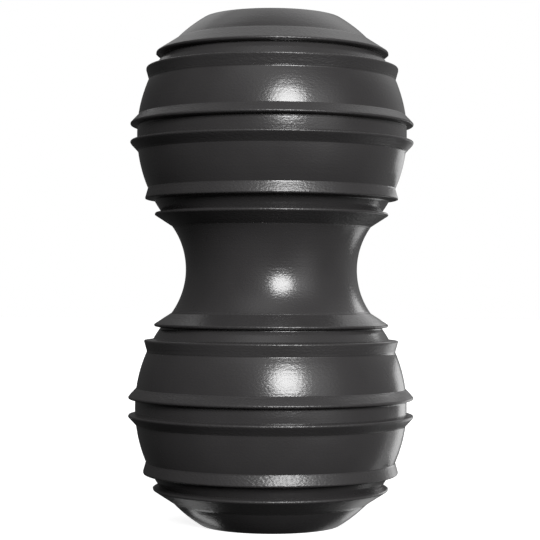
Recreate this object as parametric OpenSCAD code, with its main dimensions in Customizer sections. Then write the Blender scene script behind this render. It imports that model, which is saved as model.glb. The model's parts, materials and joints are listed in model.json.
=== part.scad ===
// Rubber chew toy: two round bulbs on a waist, with pairs of raised lips that scrape the teeth.
// It is one moulding, the same all the way round its axis, and stands on one of its flat ends.

/* [Bulbs] */
// Radius of each round bulb, at the floors of its grooves
bulb_r = 33.75; // [32:0.25:35]
// Distance between the middles of the two bulbs
bulb_spacing = 67.9; // [66:0.1:72]
// Height of each flat end beyond the middle of its bulb
end_h = 29.1; // [27.5:0.1:30.5]
// Radius of the rounded edge round each flat end
end_edge_r = 1.4; // [0.4:0.1:3]

/* [Waist] */
// Radius of the waist at its thinnest
waist_r = 21.3; // [19:0.1:23]
// Stretch of the lip's flank, along the axis, that the waist's hollow curve runs up
waist_cover_h = 0.4; // [0.1:0.1:1.5]

/* [Bore] */
// Radius of the hole along the axis
bore_r = 7.5; // [5:0.5:10]
// Radius of the rounded edge at each mouth of the hole
mouth_edge_r = 2; // [0.5:0.5:4]

/* [Lips] */
// Height of each lip above the bulb that carries it
lip_h = 1.75; // [1.2:0.05:2.4]
// Radius of the rounded tip of each lip
lip_tip_r = 0.4; // [0.2:0.05:0.6]
// How far each groove's wall, which is nearly square to the axis, leans so that the mould pulls off
wall_lean = 0.25; // [0.05:0.05:0.4]

/* [Middle groove of a bulb] */
// Distance between the two lips' tips
middle_tip_w = 4.6; // [3.5:0.05:5.6]
// Width over both lips, from where one flank leaves the bulb to where the other does
middle_lips_w = 9.1; // [8:0.1:12]

/* [Side grooves of a bulb] */
// Height above the bulb's middle at which the near lip's flank leaves the bulb
near_foot_h = 13.6; // [11:0.1:14.4]
// Height above the bulb's middle of the near lip's tip
near_tip_h = 16.1; // [15:0.05:17.2]
// Height above the bulb's middle of the far lip's tip
far_tip_h = 20.15; // [19:0.05:21.2]
// Height above the bulb's middle at which the far lip's flank meets the bulb
far_foot_h = 23.6; // [22.6:0.1:25]

/* [Hidden] */
// Sides that draw the full circle of a bulb, of the waist's curve and of a small edge
round_fn = 120;
edge_fn = 32;
// How far a cut or a joining block runs past what it meets
overrun = 1;
// Each lip is drawn down to this share of its bulb's radius, so that it is rooted in the rubber
lip_root_share = 0.9;
// A round tip or edge is drawn this much fuller than one that just grazes the faces it joins
fuller_share = 1.002;

bulb_z = bulb_spacing / 2;
half_l = bulb_z + end_h;
// Distance along the axis from the middle of a lip's tip to the foot of the wall on its groove side
wall_in = lip_tip_r + wall_lean;

// Distance from the axis of the surface of a ball of radius r, at height h above the ball's middle
function ball_x(r, h) = sqrt(r * r - h * h);

// Point on a bulb's surface at height h above the bulb's middle
function on_bulb(h) = [ball_x(bulb_r, h), h];

// Centre of a lip's round tip at height h above the bulb's middle
function tip_centre(h) = [ball_x(bulb_r + lip_h - lip_tip_r, h), h];

// Where a straight flank from foot runs into the round tip about centre, below it (side = 1) or above it (side = -1)
function flank_end(foot, centre, side) =
    let (
        away = foot - centre,
        angle = atan2(away.y, away.x) + side * acos(lip_tip_r / norm(away))
    )
    centre + lip_tip_r * [cos(angle), sin(angle)];

// One lip of a bulb: two straight flanks that rise from the surface and run into a round tip.
// The flank on the groove's side is the groove's steep wall, and the other one is a long slope.
module lip(low_h, tip_h, high_h) {
    low = on_bulb(low_h);
    high = on_bulb(high_h);
    centre = tip_centre(tip_h);
    polygon([
        lip_root_share * low,
        low,
        flank_end(low, centre, 1),
        flank_end(high, centre, -1),
        high,
        lip_root_share * high
    ]);
    translate(centre) circle(r = lip_tip_r * fuller_share, $fn = edge_fn);
}

// Round edge between the flat end and the bulb: what it takes off the sharp corner
module end_edge_cut() {
    centre = [ball_x(bulb_r - end_edge_r, end_h - end_edge_r), end_h - end_edge_r];
    difference() {
        polygon([
            centre,
            [centre.x, end_h + overrun],
            [bulb_r, end_h + overrun],
            centre * (bulb_r + overrun) / (bulb_r - end_edge_r)
        ]);
        translate(centre) circle(r = end_edge_r * fuller_share, $fn = edge_fn);
    }
}

// Half section of one bulb about its own middle, with its flat end up and its three grooves
module bulb_section() {
    difference() {
        circle(r = bulb_r, $fn = round_fn);
        translate([-bulb_r, end_h]) square([2 * bulb_r, bulb_r]);
        end_edge_cut();
    }
    for (flip = [0, 1]) mirror([0, flip]) {
        lip(middle_tip_w / 2 - wall_in, middle_tip_w / 2, middle_lips_w / 2);
        lip(near_foot_h, near_tip_h, near_tip_h + wall_in);
        lip(far_tip_h - wall_in, far_tip_h, far_foot_h);
    }
}

// Half section of the waist: one hollow curve that is square to the toy's middle plane
// and ends on the flanks of the two lips that face each other across the waist
module waist_section() {
    foot = on_bulb(far_foot_h);
    flank = foot - flank_end(foot, tip_centre(far_tip_h), -1);
    meet = foot - flank * waist_cover_h / flank.y;
    meet_z = bulb_z - meet.y;
    rise = meet.x - waist_r;
    curve_r = (rise * rise + meet_z * meet_z) / (2 * rise);
    difference() {
        translate([0, -meet_z - overrun]) square([meet.x + overrun, 2 * (meet_z + overrun)]);
        translate([waist_r + curve_r, 0]) circle(r = curve_r, $fn = round_fn);
    }
}

// Half section of the hole along the axis, which opens in a rounded edge at each end
module bore_section() {
    translate([-overrun, -half_l - overrun]) square([bore_r + overrun, 2 * (half_l + overrun)]);
    for (flip = [0, 1]) mirror([0, flip]) difference() {
        translate([0, half_l - mouth_edge_r]) square([bore_r + mouth_edge_r, mouth_edge_r + overrun]);
        translate([bore_r + mouth_edge_r, half_l - mouth_edge_r])
            circle(r = mouth_edge_r * fuller_share, $fn = edge_fn);
    }
}

module rubber_body() {
    color([0.11, 0.11, 0.12])
    translate([0, 0, half_l])
    rotate_extrude($fn = round_fn)
    difference() {
        union() {
            for (flip = [0, 1]) mirror([0, flip]) translate([0, bulb_z]) bulb_section();
            waist_section();
        }
        bore_section();
        translate([-bulb_r - overrun, -half_l - overrun]) square([bulb_r + overrun, 2 * (half_l + overrun)]);
    }
}

rubber_body();
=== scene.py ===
# %% [markdown]
# # A black rubber chew toy
# The real toy is one rubber moulding: two round bulbs on a waist, with pairs of raised lips turned
# round each bulb and a hole along its axis. It is pressed in a mould and comes out in one piece, so
# this lesson makes one surface, one finish, and a small studio to see them in.
# Everything is in metres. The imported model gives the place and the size, and nothing is fitted to it.

# %% Load the frame
import json
import math

import bpy
import numpy as np
from mathutils import Matrix, Vector


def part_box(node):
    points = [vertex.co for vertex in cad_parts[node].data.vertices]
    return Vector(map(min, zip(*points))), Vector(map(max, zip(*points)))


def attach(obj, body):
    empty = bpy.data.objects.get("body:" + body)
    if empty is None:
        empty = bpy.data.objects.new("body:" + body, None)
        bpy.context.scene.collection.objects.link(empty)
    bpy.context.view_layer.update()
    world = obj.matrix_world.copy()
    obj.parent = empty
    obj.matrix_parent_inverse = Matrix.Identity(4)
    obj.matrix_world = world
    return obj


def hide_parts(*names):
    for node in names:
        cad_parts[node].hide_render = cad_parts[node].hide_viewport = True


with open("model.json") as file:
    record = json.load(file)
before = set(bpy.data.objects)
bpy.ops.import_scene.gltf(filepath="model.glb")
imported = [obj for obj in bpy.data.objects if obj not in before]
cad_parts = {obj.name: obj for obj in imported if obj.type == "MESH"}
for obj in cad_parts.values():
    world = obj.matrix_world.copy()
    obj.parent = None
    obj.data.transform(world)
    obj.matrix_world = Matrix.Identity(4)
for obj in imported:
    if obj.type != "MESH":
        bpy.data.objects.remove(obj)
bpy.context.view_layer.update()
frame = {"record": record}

MM = 0.001
body_low, body_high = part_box("rubber_body")
length = body_high[2] - body_low[2]
mid_z = (body_high[2] + body_low[2]) / 2
bore = next(m for m in frame["record"]["mounts"] if m["name"] == "axial_hole")
bore_r = bore["dims"]["r_mm"] * MM
print(f"the toy is {length / MM:.1f} mm long and its hole is {2 * bore_r / MM:.1f} mm across")

# %% [markdown]
# ## The camera
# The toy stands upright, and the photograph looks at it from just under its middle, tilted up a
# little. A long lens from about 40 cm keeps its two ends nearly the same width. The picture was cut
# out a little off the lens's own centre, which is what the camera's shift is for.

# %% Camera
CAMERA_DISTANCE = 412.5 * MM
CAMERA_BELOW_MIDDLE = 5.4 * MM
CAMERA_PITCH = math.radians(2.69)
CAMERA_ROLL = math.radians(0.25)
SENSOR_W = 36.0
PHOTO_PX = 540
FOCAL_PX = 1650.0
PRINCIPAL_X_PX = 271.6
PRINCIPAL_Y_PX = 214.0
NEAREST_SEEN = 10 * MM

camera_data = bpy.data.cameras.new("studio_camera")
camera_data.sensor_width = SENSOR_W
camera_data.lens = SENSOR_W * FOCAL_PX / PHOTO_PX
camera_data.shift_x = 0.5 - PRINCIPAL_X_PX / PHOTO_PX
camera_data.shift_y = PRINCIPAL_Y_PX / PHOTO_PX - 0.5
camera_data.clip_start = NEAREST_SEEN
camera = bpy.data.objects.new("studio_camera", camera_data)
bpy.context.collection.objects.link(camera)
look_level = Matrix.Rotation(math.pi / 2 + CAMERA_PITCH, 4, "X")
camera.matrix_world = (
    Matrix.Translation((0, -CAMERA_DISTANCE, mid_z - CAMERA_BELOW_MIDDLE))
    @ look_level
    @ Matrix.Rotation(CAMERA_ROLL, 4, "Z")
)
bpy.context.scene.camera = camera
bpy.context.scene.view_settings.view_transform = "Standard"
print(f"the lens is {camera_data.lens:.1f} mm")

# %% [markdown]
# ## The toy's section
# A toy like this is drawn as half a section and turned about its axis. The section is a radius at
# each height, r(z), because nothing on the outside reaches back under itself. That makes it easy to
# work out with numpy: each form gives its own radius at every height, and the toy is the largest of
# them. First come the sizes, which are those of the solid model.

# %% Sizes of the section
BULB_R = 33.75 * MM
BULB_SPACING = 67.9 * MM
END_EDGE_R = 1.4 * MM
WAIST_R = 21.3 * MM
WAIST_COVER_H = 0.4 * MM
MOUTH_EDGE_R = 2.0 * MM
LIP_H = 1.75 * MM
LIP_TIP_R = 0.4 * MM
WALL_LEAN = 0.25 * MM
MIDDLE_TIP_W = 4.6 * MM
MIDDLE_LIPS_W = 9.1 * MM
NEAR_FOOT_H = 13.6 * MM
NEAR_TIP_H = 16.1 * MM
FAR_TIP_H = 20.15 * MM
FAR_FOOT_H = 23.6 * MM

half_length = length / 2
bulb_z = BULB_SPACING / 2
end_h = half_length - bulb_z
wall_in = LIP_TIP_R + WALL_LEAN
tips_ball_r = BULB_R + LIP_H - LIP_TIP_R
print(f"each flat end is {end_h / MM:.2f} mm beyond the middle of its bulb")

# %% [markdown]
# A bulb is a ball, so its radius at height h above its middle is the root of R squared less h
# squared. A lip is two straight flanks and a round tip that both flanks graze. The angle at which a
# line from a foot grazes a circle is the arc cosine of the circle's radius over the distance. The feet
# lie on the bulb, and the middles of the tips' circles lie on a larger ball, of radius tips_ball_r.

# %% The forms of the section
def ball(h, radius):
    """Radius at height h of a ball: the square root of radius squared less h squared.

    Beyond the ball it is 0.
    """
    return np.sqrt(np.maximum(radius**2 - np.asarray(h) ** 2, 0))


def on_ball(h, radius):
    """Point of the section at height h on a ball: its distance from the axis, and h."""
    return np.array([ball(h, radius), h])


def graze(foot, centre, side):
    """Point where the line from foot grazes the tip's circle about centre.

    It passes under the centre with side 1, and over it with side -1.
    """
    away = foot - centre
    angle = np.arctan2(away[1], away[0]) + side * np.arccos(LIP_TIP_R / np.hypot(*away))
    return centre + LIP_TIP_R * np.array([np.cos(angle), np.sin(angle)])


def lip(h, low_h, tip_h, high_h):
    """Radius at height h of a lip on a bulb: a straight flank, the tip's circle, and a straight flank.

    Beyond its two feet the lip has no radius at all.
    """
    low, high = on_ball(low_h, BULB_R), on_ball(high_h, BULB_R)
    tip = on_ball(tip_h, tips_ball_r)
    start, end = graze(low, tip, 1), graze(high, tip, -1)
    radius, height = np.array([low, start, end, high]).T
    flanks = np.interp(h, height, radius, left=0, right=0)
    on_tip = (h > start[1]) & (h < end[1])
    return np.where(on_tip, tip[0] + ball(h - tip_h, LIP_TIP_R), flanks)


def larger(a, b, blend):
    """The larger of a and b, with the inner corner between them filled.

    Where they differ by less than blend, the square of the shortfall, over four times blend, is added.
    """
    return np.maximum(a, b) + np.maximum(blend - np.abs(a - b), 0) ** 2 / (4 * blend)


# %% [markdown]
# The waist is one hollow arc, square to the middle plane, that runs out on the flanks of the two
# lips which face each other across it. Three points of an arc give its radius: rise and half height.

# %% The waist and the whole outline
CORNER_BLEND = 0.12 * MM
WAIST_BLEND = 0.03 * MM
OUTLINE_POINTS = 24001


def waist(z):
    """Radius of the waist's hollow arc at height z above the middle plane.

    The arc's circle lies outside the toy: its middle is at the waist's radius plus its own, and what it
    reaches back at height z is taken off. Where the arc has run out on the lips, the radius is 0.
    """
    foot = on_ball(FAR_FOOT_H, BULB_R)
    flank = foot - graze(foot, on_ball(FAR_TIP_H, tips_ball_r), -1)
    meet_r, meet_h = foot - flank * WAIST_COVER_H / flank[1]
    meet_z = bulb_z - meet_h
    rise = meet_r - WAIST_R
    arc_r = (rise**2 + meet_z**2) / (2 * rise)
    hollow = WAIST_R + arc_r - ball(z, arc_r)
    return np.where(np.abs(z) < meet_z, hollow, 0)


def outside(z):
    """Radius of the toy's outside at height z above its middle plane: the largest of all its forms."""
    h = np.abs(z) - bulb_z
    radius = ball(h, BULB_R)
    for low_h, tip_h, high_h in (
        (MIDDLE_TIP_W / 2 - wall_in, MIDDLE_TIP_W / 2, MIDDLE_LIPS_W / 2),
        (NEAR_FOOT_H, NEAR_TIP_H, NEAR_TIP_H + wall_in),
        (FAR_TIP_H - wall_in, FAR_TIP_H, FAR_FOOT_H),
    ):
        radius = larger(radius, lip(h, low_h, tip_h, high_h), CORNER_BLEND)
        radius = larger(radius, lip(-h, low_h, tip_h, high_h), CORNER_BLEND)
    radius = larger(radius, waist(z), WAIST_BLEND)
    edge_h = end_h - END_EDGE_R
    edge_r = ball(edge_h, BULB_R - END_EDGE_R)
    leaves_h = edge_h * BULB_R / (BULB_R - END_EDGE_R)
    return np.where(h > leaves_h, edge_r + ball(h - edge_h, END_EDGE_R), radius)


heights = np.linspace(-half_length, half_length, OUTLINE_POINTS)
radii = outside(heights)
widest_r = radii.max()
waist_r = radii[OUTLINE_POINTS // 2]
print(f"widest {2 * widest_r / MM:.2f} mm, waist {2 * waist_r / MM:.2f} mm across")

# %% [markdown]
# The section closes through the hole: across each flat end, round the mouth's edge, and along the
# wall. It is worked out far too finely, and then thinned: a point is kept at equal steps of length
# plus turning, so that the round tips get many points and the plain stretches few.

# %% Close the section and space its points
MOUTH_POINTS = 90
WALL_POINTS = 400
FLAT_POINTS = 60
SECTION_POINTS = 640
TURN_WORTH = 2.4 * MM
WALL_WORTH_SHARE = 0.15
WALL_SLACK = MOUTH_EDGE_R / 20

quarter = np.linspace(0, math.pi / 2, MOUTH_POINTS)
mouth_r = bore_r + MOUTH_EDGE_R
mouth = np.stack([mouth_r - MOUTH_EDGE_R * np.sin(quarter),
                  half_length - MOUTH_EDGE_R * (1 - np.cos(quarter))], axis=1)
wall_z = np.linspace(half_length - MOUTH_EDGE_R, MOUTH_EDGE_R - half_length, WALL_POINTS)[1:-1]
wall = np.stack([np.full_like(wall_z, bore_r), wall_z], axis=1)
flat_r = np.linspace(radii[-1], mouth_r, FLAT_POINTS)[1:-1]
flat = np.stack([flat_r, np.full_like(flat_r, half_length)], axis=1)
turned_over = np.array([1, -1])
fine = np.concatenate([
    np.stack([radii, heights], axis=1),
    flat,
    mouth,
    wall,
    mouth[::-1] * turned_over,
    flat[::-1] * turned_over,
])


def space_points(points, count):
    """Thin a closed outline to count points at equal steps of worth.

    A step's worth is its length plus its change of direction times TURN_WORTH. The hole's wall,
    which is hardly seen, is worth WALL_WORTH_SHARE of its length.
    """
    step = np.roll(points, -1, axis=0) - points
    size = np.hypot(step[:, 0], step[:, 1])
    heading = np.arctan2(step[:, 1], step[:, 0])
    turn = np.abs((heading - np.roll(heading, 1) + math.pi) % (2 * math.pi) - math.pi)
    on_wall = points[:, 0] < bore_r + WALL_SLACK
    worth = size * np.where(on_wall, WALL_WORTH_SHARE, 1) + TURN_WORTH * turn
    reached = np.concatenate([[0], np.cumsum(worth)])
    around = np.concatenate([points, points[:1]])
    wanted = np.linspace(0, reached[-1], count, endpoint=False)
    return np.stack([np.interp(wanted, reached, around[:, i]) for i in (0, 1)], axis=1)


section = space_points(fine, SECTION_POINTS)
print(f"{len(fine)} fine points thinned to {len(section)}")

# %% [markdown]
# ## Turning the section
# A perfect turning looks like a computer's. The real rubber has left a mould in two halves, so a
# fine seam runs down both sides, and cooling rubber draws in unevenly by a few hundredths of a
# millimetre. Both are added to the radius as functions of the angle and the height. The seam is
# trimmed away at the tips of the highest lips, which keeps the toy inside its solid.

# %% Angles and the uneven radius
TURN_POINTS = 132
SEAM_HALF_W = 0.16 * MM
SEAM_H = 0.10 * MM
SEAM_TRIM_H = 0.35 * MM
SEAM_POINTS = (-2.2, -1, -0.5, 0.5, 1, 2.2)   # in half widths of the seam, from its middle
WAVE_H = 0.035 * MM
WAVES = ((3, 1), (5, -3), (11, 7))   # waves round the toy, and from one bulb's middle to the other's

even = np.linspace(0, 2 * math.pi, TURN_POINTS, endpoint=False)
beside = SEAM_HALF_W / BULB_R * np.array(SEAM_POINTS)
angles = np.sort(np.concatenate([even, beside % (2 * math.pi), beside + math.pi]))


def uneven(radius, height, angle):
    """What the mould adds to a radius, in metres.

    It is a low seam at angles 0 and half a turn, a bell curve of the distance from it, less a slow
    wave, which is the mean of three sines of the angle and the height.
    """
    from_seam = radius * np.abs(np.sin(angle))
    seam = SEAM_H * np.exp(-((from_seam / SEAM_HALF_W) ** 2))
    seam = seam * np.clip((widest_r - radius) / SEAM_TRIM_H, 0, 1)
    turns = height / BULB_SPACING * 2 * math.pi
    wave = sum(np.sin(around * angle + along * turns) for around, along in WAVES) / len(WAVES)
    return seam - WAVE_H * (1 + wave) / 2


# %% [markdown]
# The mesh is a grid of angles by section points, joined to itself both ways, so it has no pole and
# no open edge. The order of a face's corners decides which side is outside.

# %% Build the rubber body
def turned(points, turns):
    """Vertices of a section turned about Z: x = r cos a, y = r sin a, z = height, for every angle a."""
    angle = turns[:, None]
    height = points[None, :, 1]
    radius = np.broadcast_to(points[None, :, 0], (len(turns), len(points)))
    outer = radius > bore_r + MOUTH_EDGE_R
    radius = radius + np.where(outer, uneven(radius, height, angle), 0)
    x, y = radius * np.cos(angle), radius * np.sin(angle)
    return np.stack([x, y, np.broadcast_to(height + mid_z, x.shape)], axis=2).reshape(-1, 3)


def ring_faces(rows, columns):
    """Four corners of each face of a grid that is joined to itself both ways, as vertex numbers."""
    row, column = np.meshgrid(np.arange(rows), np.arange(columns), indexing="ij")
    next_row, next_column = (row + 1) % rows, (column + 1) % columns
    corners = [row * columns + column, next_row * columns + column,
               next_row * columns + next_column, row * columns + next_column]
    return np.stack(corners, axis=2).reshape(-1, 4)


def grid_mesh(name, vertices, faces):
    """A smooth-shaded mesh from arrays of vertices and four-cornered faces."""
    mesh = bpy.data.meshes.new(name)
    mesh.vertices.add(len(vertices))
    mesh.vertices.foreach_set("co", vertices.ravel())
    mesh.loops.add(faces.size)
    mesh.loops.foreach_set("vertex_index", faces.ravel())
    mesh.polygons.add(len(faces))
    mesh.polygons.foreach_set("loop_start", np.arange(0, faces.size, 4))
    mesh.update(calc_edges=True)
    mesh.validate()
    mesh.shade_smooth()
    return mesh


vertices = turned(section, angles)
faces = ring_faces(len(angles), len(section))
body = bpy.data.objects.new("rubber_moulding", grid_mesh("rubber_moulding", vertices, faces))
bpy.context.collection.objects.link(body)
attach(body, "root")
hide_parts("rubber_body")
print(f"{2 * len(faces)} triangles")

# %% [markdown]
# ## The rubber
# A material is a tree of nodes, and so is each group that it uses. Five small helpers build them all:
# they join two sockets, add a node, do a sum, stretch a value to a new range, and start a group.

# %% Helpers for shader nodes
def link(tree, start, end):
    """Join an output socket to an input socket."""
    tree.links.new(start, end)


def add_node(tree, kind, **values):
    """A new node with its properties set by name."""
    node = tree.nodes.new(kind)
    for name, value in values.items():
        setattr(node, name, value)
    return node


def calculate(tree, operation, *values):
    """Output of a Math node. A value that is a socket is joined on, and a plain number is set."""
    node = add_node(tree, "ShaderNodeMath", operation=operation)
    for socket, value in zip(node.inputs, values):
        if isinstance(value, bpy.types.NodeSocket):
            link(tree, value, socket)
        else:
            socket.default_value = value
    return node.outputs["Value"]


def stretch(tree, value, low, high):
    """Output of a Map Range node that turns a value from 0 to 1 into one from low to high."""
    node = add_node(tree, "ShaderNodeMapRange")
    node.inputs["To Min"].default_value = low
    node.inputs["To Max"].default_value = high
    link(tree, value, node.inputs["Value"])
    return node.outputs["Result"]


def new_group(name, starts, results):
    """A shader group with its named sockets, and its input and output nodes.

    starts gives each input its first value, three numbers for a vector. Every result is one number.
    """
    tree = bpy.data.node_groups.new(name, "ShaderNodeTree")
    for label, value in starts.items():
        kind = "NodeSocketVector" if isinstance(value, tuple) else "NodeSocketFloat"
        socket = tree.interface.new_socket(label, in_out="INPUT", socket_type=kind)
        socket.default_value = value
    for label in results:
        tree.interface.new_socket(label, in_out="OUTPUT", socket_type="NodeSocketFloat")
    return tree, add_node(tree, "NodeGroupInput"), add_node(tree, "NodeGroupOutput")


# %% [markdown]
# Moulded rubber is a deep grey black with a soft sheen. Close up it has a fine grain, from the blasted
# mould, and faint rings, from the tool that cut the mould on a lathe. Noise on Object coordinates
# gives both: a little wider than high for the grain, and squeezed flat for the rings.

# %% A group for the moulded grain
GRAIN_SQUEEZE = (0.55, 0.55, 1.0)
RING_SQUEEZE = (0.02, 0.02, 1.0)
FINE_DETAIL = 1.0
TONE_SCALE = 90.0
TONE_DETAIL = 3.0


def moulded_grain_group():
    """Shader group: Height for a Bump node and a Tone, both from 0 to 1, from a grain and rings.

    Grain and rings are noise on places whose X and Y are multiplied by less than 1, which makes them
    wider than high. Height is a mix of the two, and Tone is a broad noise of its own.
    """
    tree, inputs, outputs = new_group(
        "moulded_grain",
        {"Grains per Metre": 2600.0, "Rings per Metre": 1100.0, "Ring Share": 0.4},
        ["Height", "Tone"],
    )
    place = add_node(tree, "ShaderNodeTexCoord")

    def squeezed_noise(squeeze, per_metre):
        """Noise on places multiplied by squeeze, at the scale that an input socket gives."""
        mapping = add_node(tree, "ShaderNodeMapping")
        mapping.inputs["Scale"].default_value = squeeze
        link(tree, place.outputs["Object"], mapping.inputs["Vector"])
        noise = add_node(tree, "ShaderNodeTexNoise")
        noise.inputs["Detail"].default_value = FINE_DETAIL
        link(tree, mapping.outputs["Vector"], noise.inputs["Vector"])
        link(tree, inputs.outputs[per_metre], noise.inputs["Scale"])
        return noise.outputs["Fac"]

    blend = add_node(tree, "ShaderNodeMix", data_type="FLOAT")
    link(tree, inputs.outputs["Ring Share"], blend.inputs["Factor"])
    link(tree, squeezed_noise(GRAIN_SQUEEZE, "Grains per Metre"), blend.inputs["A"])
    link(tree, squeezed_noise(RING_SQUEEZE, "Rings per Metre"), blend.inputs["B"])
    link(tree, blend.outputs["Result"], outputs.inputs["Height"])
    broad = add_node(tree, "ShaderNodeTexNoise")
    broad.inputs["Scale"].default_value = TONE_SCALE
    broad.inputs["Detail"].default_value = TONE_DETAIL
    link(tree, place.outputs["Object"], broad.inputs["Vector"])
    link(tree, broad.outputs["Fac"], outputs.inputs["Tone"])
    return tree


grain_group = moulded_grain_group()

# %% [markdown]
# The lips were cut into the mould by another tool, and it left them rougher than the bulbs. A lip is
# whatever stands above its bulb, so the distance from the bulb's middle tells the two apart.

# %% A group that finds the lips
LIP_MASK_EDGE = 0.15 * MM


def lip_mask_group():
    """Shader group: Mask is 1 on a lip and 0 elsewhere.

    With h the height beyond a bulb's middle, the distance from that middle is the root of x squared
    plus y squared plus h squared. It has to pass the bulb's radius by Edge, and h has to be above
    Lowest Lip, where the waist begins.
    """
    tree, inputs, outputs = new_group(
        "lip_mask",
        {"Middle Height": mid_z, "Bulb Height": bulb_z, "Bulb Radius": BULB_R,
         "Lowest Lip": -FAR_FOOT_H, "Edge": LIP_MASK_EDGE},
        ["Mask"],
    )
    place = add_node(tree, "ShaderNodeTexCoord")
    split = add_node(tree, "ShaderNodeSeparateXYZ")
    link(tree, place.outputs["Object"], split.inputs["Vector"])
    above = calculate(tree, "SUBTRACT", split.outputs["Z"], inputs.outputs["Middle Height"])
    from_middle = calculate(tree, "ABSOLUTE", above)
    beyond = calculate(tree, "SUBTRACT", from_middle, inputs.outputs["Bulb Height"])
    about_bulb = add_node(tree, "ShaderNodeCombineXYZ")
    link(tree, split.outputs["X"], about_bulb.inputs["X"])
    link(tree, split.outputs["Y"], about_bulb.inputs["Y"])
    link(tree, beyond, about_bulb.inputs["Z"])
    far = add_node(tree, "ShaderNodeVectorMath", operation="LENGTH")
    link(tree, about_bulb.outputs["Vector"], far.inputs[0])
    stands = calculate(tree, "SUBTRACT", far.outputs["Value"], inputs.outputs["Bulb Radius"])
    raised = calculate(tree, "GREATER_THAN", stands, inputs.outputs["Edge"])
    on_bulb = calculate(tree, "GREATER_THAN", beyond, inputs.outputs["Lowest Lip"])
    link(tree, calculate(tree, "MULTIPLY", raised, on_bulb), outputs.inputs["Mask"])
    return tree


lip_group = lip_mask_group()

# %% [markdown]
# The sheen is what makes it rubber: a roughness of about a fifth, a little uneven, so that a soft box
# shows as a bright patch with a soft edge, and a base that is never quite black. Rubber bends light
# about as much as glass does, so its index of refraction is 1.5.

# %% The rubber material
RUBBER_DARK = (0.0300, 0.0287, 0.0293, 1.0)
RUBBER_PALE = (0.0413, 0.0396, 0.0404, 1.0)
RUBBER_IOR = 1.5
ROUGHNESS_LOW = 0.19
ROUGHNESS_HIGH = 0.25
GRAIN_DEPTH = 0.05 * MM
GRAIN_MIDDLE = 0.5
LIP_ROUGHER = 0.10
LIP_GRAIN_COARSER = 2.6


def rubber_material():
    """Black moulded rubber: grain and rings as a bump, and a slow change of tone and roughness.

    The bump's height is the grain less GRAIN_MIDDLE, times 1 on a bulb and LIP_GRAIN_COARSER on a lip,
    so that the two meet at the same level. A lip's roughness is greater by LIP_ROUGHER.
    """
    material = bpy.data.materials.new("black_rubber")
    material.use_nodes = True
    tree = material.node_tree
    shader = tree.nodes["Principled BSDF"]
    shader.inputs["IOR"].default_value = RUBBER_IOR
    grain = add_node(tree, "ShaderNodeGroup", node_tree=grain_group)
    lips = add_node(tree, "ShaderNodeGroup", node_tree=lip_group)
    centred = calculate(tree, "SUBTRACT", grain.outputs["Height"], GRAIN_MIDDLE)
    coarser = stretch(tree, lips.outputs["Mask"], 1.0, LIP_GRAIN_COARSER)
    bump = add_node(tree, "ShaderNodeBump")
    bump.inputs["Strength"].default_value = 1.0
    bump.inputs["Distance"].default_value = GRAIN_DEPTH
    link(tree, calculate(tree, "MULTIPLY", centred, coarser), bump.inputs["Height"])
    link(tree, bump.outputs["Normal"], shader.inputs["Normal"])
    tint = add_node(tree, "ShaderNodeMix", data_type="RGBA")
    tint.inputs["A"].default_value = RUBBER_DARK
    tint.inputs["B"].default_value = RUBBER_PALE
    link(tree, grain.outputs["Tone"], tint.inputs["Factor"])
    link(tree, tint.outputs["Result"], shader.inputs["Base Color"])
    sheen = stretch(tree, grain.outputs["Tone"], ROUGHNESS_LOW, ROUGHNESS_HIGH)
    rougher = calculate(tree, "MULTIPLY_ADD", lips.outputs["Mask"], LIP_ROUGHER, sheen)
    link(tree, rougher, shader.inputs["Roughness"])
    return material


body.data.materials.append(rubber_material())

# %% [markdown]
# ## The studio
# Black rubber has little colour of its own to show. What the eye reads is what it mirrors: a few
# large soft boxes in a dark room. A box that is only ever seen in the rubber needs no lamp. It can be
# a soft spot of light painted on the world, brightest at its middle and fading like a bell curve. The
# camera alone sees the world as plain white.

# %% A group for one soft spot of the world
def soft_spot_group():
    """Shader group: the Light of one soft spot.

    With c the cosine of the angle between Direction and Centre, it is Brightness times e to the power
    of Sharpness times c less 1.
    """
    tree, inputs, outputs = new_group(
        "soft_spot",
        {"Direction": (0, 0, 1), "Centre": (0, 0, 1), "Sharpness": 1.0, "Brightness": 1.0},
        ["Light"],
    )
    cosine = add_node(tree, "ShaderNodeVectorMath", operation="DOT_PRODUCT")
    link(tree, inputs.outputs["Direction"], cosine.inputs[0])
    link(tree, inputs.outputs["Centre"], cosine.inputs[1])
    short = calculate(tree, "SUBTRACT", cosine.outputs["Value"], 1.0)
    power = calculate(tree, "MULTIPLY", short, inputs.outputs["Sharpness"])
    bell = calculate(tree, "EXPONENT", power)
    light = calculate(tree, "MULTIPLY", bell, inputs.outputs["Brightness"])
    link(tree, light, outputs.inputs["Light"])
    return tree


def toward(azimuth, elevation):
    """Unit vector from the toy, azimuth degrees to the right of the camera and elevation degrees up."""
    turn, rise = math.radians(azimuth), math.radians(elevation)
    return Vector((math.sin(turn) * math.cos(rise), -math.cos(turn) * math.cos(rise), math.sin(rise)))


# %% [markdown]
# Each spot has an azimuth, an elevation, a breadth at which it has faded to about three fifths, and a
# brightness, where 1 is white. Two light the front from above and from the right, and two reach over
# from behind. Four dim ones stand in for what the room throws back.

# %% The world
SOFT_SPOTS = {
    "front_ceiling": (-9, 56, 16.5, 0.82),
    "front_right": (39, 21, 12, 1.45),
    "over_the_back": (152, 47, 20.5, 1.03),
    "over_the_left": (-146, 54, 10, 0.60),
    "camera_wall": (-7, 17, 12, 0.30),
    "low_right": (45, -6.5, 12, 0.45),
    "low_behind": (124, -8, 24.5, 0.30),
    "left_behind": (-132, 4, 27, 0.08),
}
WHITE = (1, 1, 1, 1)


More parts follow.
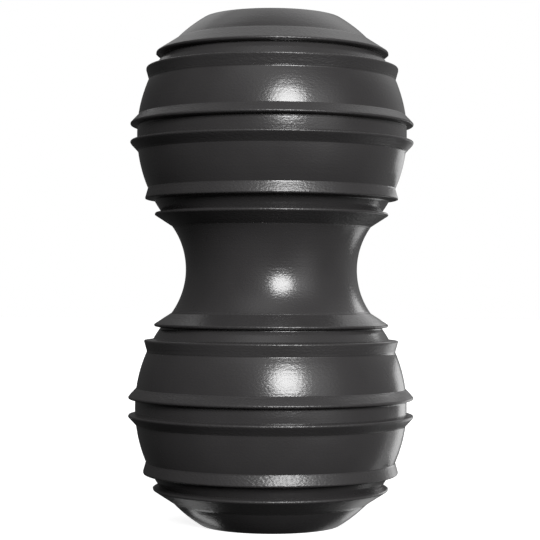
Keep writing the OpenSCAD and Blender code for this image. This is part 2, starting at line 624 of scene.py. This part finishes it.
def studio_world():
    """White to the camera, and the sum of the soft spots to the rubber."""
    world = bpy.data.worlds.new("studio_world")
    bpy.context.scene.world = world
    world.use_nodes = True
    tree = world.node_tree
    group = soft_spot_group()
    place = add_node(tree, "ShaderNodeTexCoord")
    total = None
    for name, (azimuth, elevation, breadth, brightness) in SOFT_SPOTS.items():
        spot = add_node(tree, "ShaderNodeGroup", node_tree=group, label=name)
        link(tree, place.outputs["Generated"], spot.inputs["Direction"])
        spot.inputs["Centre"].default_value = toward(azimuth, elevation)
        spot.inputs["Sharpness"].default_value = math.radians(breadth) ** -2
        spot.inputs["Brightness"].default_value = brightness
        light = spot.outputs["Light"]
        total = light if total is None else calculate(tree, "ADD", total, light)
    path = add_node(tree, "ShaderNodeLightPath")
    seen = add_node(tree, "ShaderNodeMix", data_type="FLOAT")
    seen.inputs["B"].default_value = 1.0
    link(tree, path.outputs["Is Camera Ray"], seen.inputs["Factor"])
    link(tree, total, seen.inputs["A"])
    link(tree, seen.outputs["Result"], tree.nodes["Background"].inputs["Strength"])
    tree.nodes["Background"].inputs["Color"].default_value = WHITE
    print(f"{len(SOFT_SPOTS)} soft spots on the world")


studio_world()

# %% [markdown]
# The floor is a plain sheet. It takes the toy's soft shadow, and glows to the camera a little more
# with distance, so that its far edge is as white as the world and no horizon shows. The rubber
# doesn't mirror it, and it lets the spots below it shine through, because the real studio was dark
# under the toy but for the light that came in low from behind.

# %% The floor
FLOOR_SIZE = 6.0
FLOOR_GLOW_NEAR = 0.88
FLOOR_GLOW_FAR = 1.0
FLOOR_NEAR_R = 0.10
FLOOR_FAR_R = 0.60
FLOOR_PALE = (0.8, 0.8, 0.8, 1)

half = FLOOR_SIZE / 2
floor_corners = [(-half, -half, 0), (half, -half, 0), (half, half, 0), (-half, half, 0)]
floor_mesh = bpy.data.meshes.new("floor")
floor_mesh.from_pydata(floor_corners, [], [(0, 1, 2, 3)])
floor = bpy.data.objects.new("floor", floor_mesh)
bpy.context.collection.objects.link(floor)
floor.visible_diffuse = False
floor.visible_glossy = False
floor.visible_shadow = False


def floor_material():
    """A pale matt sheet with a glow that grows with the distance from the toy."""
    material = bpy.data.materials.new("pale_floor")
    material.use_nodes = True
    tree = material.node_tree
    tree.nodes.remove(tree.nodes["Principled BSDF"])
    place = add_node(tree, "ShaderNodeTexCoord")
    far = add_node(tree, "ShaderNodeVectorMath", operation="LENGTH")
    link(tree, place.outputs["Object"], far.inputs[0])
    grow = add_node(tree, "ShaderNodeMapRange", interpolation_type="SMOOTHSTEP")
    for name, value in (("From Min", FLOOR_NEAR_R), ("From Max", FLOOR_FAR_R),
                        ("To Min", FLOOR_GLOW_NEAR), ("To Max", FLOOR_GLOW_FAR)):
        grow.inputs[name].default_value = value
    link(tree, far.outputs["Value"], grow.inputs["Value"])
    matt = add_node(tree, "ShaderNodeBsdfDiffuse")
    matt.inputs["Color"].default_value = FLOOR_PALE
    glow = add_node(tree, "ShaderNodeEmission")
    link(tree, grow.outputs["Result"], glow.inputs["Strength"])
    both = add_node(tree, "ShaderNodeAddShader")
    link(tree, matt.outputs["BSDF"], both.inputs[0])
    link(tree, glow.outputs["Emission"], both.inputs[1])
    link(tree, both.outputs["Shader"], tree.nodes["Material Output"].inputs["Surface"])
    return material


floor_mesh.materials.append(floor_material())

# %% [markdown]
# The key is a real lamp, because it has to throw each lip's shadow on its groove: a round soft box up
# and to the right of the camera, which also gives the bright patch on each bulb and on the waist. A
# flat lamp's power in watts is its brightness times pi times its area.

# %% The key lamp
KEY_AZIMUTH = 14.0
KEY_ELEVATION = 22.4
KEY_DISTANCE = 2.5
KEY_ACROSS = 1.14
KEY_BRIGHTNESS = 23.0


def hang(data, place, away):
    """Put a flat lamp at a place with its back to the direction away, hidden from the camera."""
    lamp = bpy.data.objects.new(data.name, data)
    lamp.location = place
    lamp.rotation_euler = away.to_track_quat("Z", "Y").to_euler()
    lamp.visible_camera = False
    bpy.context.collection.objects.link(lamp)


def key_lamp():
    """A round flat lamp that faces the toy's middle. Its area is pi over 4 times its width squared."""
    data = bpy.data.lights.new("key_box", "AREA")
    data.shape = "DISK"
    data.size = KEY_ACROSS
    data.energy = math.pi * (math.pi * KEY_ACROSS**2 / 4) * KEY_BRIGHTNESS
    away = toward(KEY_AZIMUTH, KEY_ELEVATION)
    hang(data, Vector((0, 0, mid_z)) + away * KEY_DISTANCE, away)
    print(f"the key lamp: {data.energy:.1f} W")


key_lamp()

# %% [markdown]
# Small cards stand just behind and beside the toy, out of the camera's sight, and draw the bright
# rims where the rubber turns away from the eye. They are so near that each one lights only what is
# level with it. Three of them lie under the floor's level, and their light comes up through it to the
# toy's foot. Each has its place, the height on the toy's axis that it faces, its width, its height
# and its brightness. Its light keeps to a beam, so it doesn't spill along the toy.

# %% The rim cards
CARD_BEAM = math.radians(90)
RIM_CARDS = {   # x, y, z, aim_z, width, height, brightness
    "low_right_card": (0.074, 0.060, 0.020, 0.020, 0.038, 0.060, 0.62),
    "low_side_card": (0.0893, 0.0325, -0.015, 0.010, 0.030, 0.070, 0.18),
    "high_right_card": (0.0653, 0.0673, 0.0876, 0.053, 0.056, 0.0185, 0.60),
    "high_left_card": (-0.052, 0.075, 0.172, 0.120, 0.055, 0.060, 0.13),
    "under_card": (0.010, 0.078, -0.040, 0.010, 0.100, 0.040, 0.11),
    "foot_left_card": (-0.0315, 0.0185, -0.026, 0.010, 0.011, 0.016, 0.58),
    "foot_right_card": (0.0340, 0.0275, -0.0145, 0.010, 0.012, 0.013, 0.44),
}


def rim_card(name, x, y, z, aim_z, width, height, brightness):
    """A flat lamp that faces the height aim_z on the toy's axis. Gives its power in watts."""
    data = bpy.data.lights.new(name, "AREA")
    data.shape = "RECTANGLE"
    data.size = width
    data.size_y = height
    data.energy = math.pi * width * height * brightness
    data.spread = CARD_BEAM
    hang(data, (x, y, z), Vector((x, y, z - aim_z)))
    return data.energy


for name, values in RIM_CARDS.items():
    print(f"{name}: {1000 * rim_card(name, *values):.0f} mW")
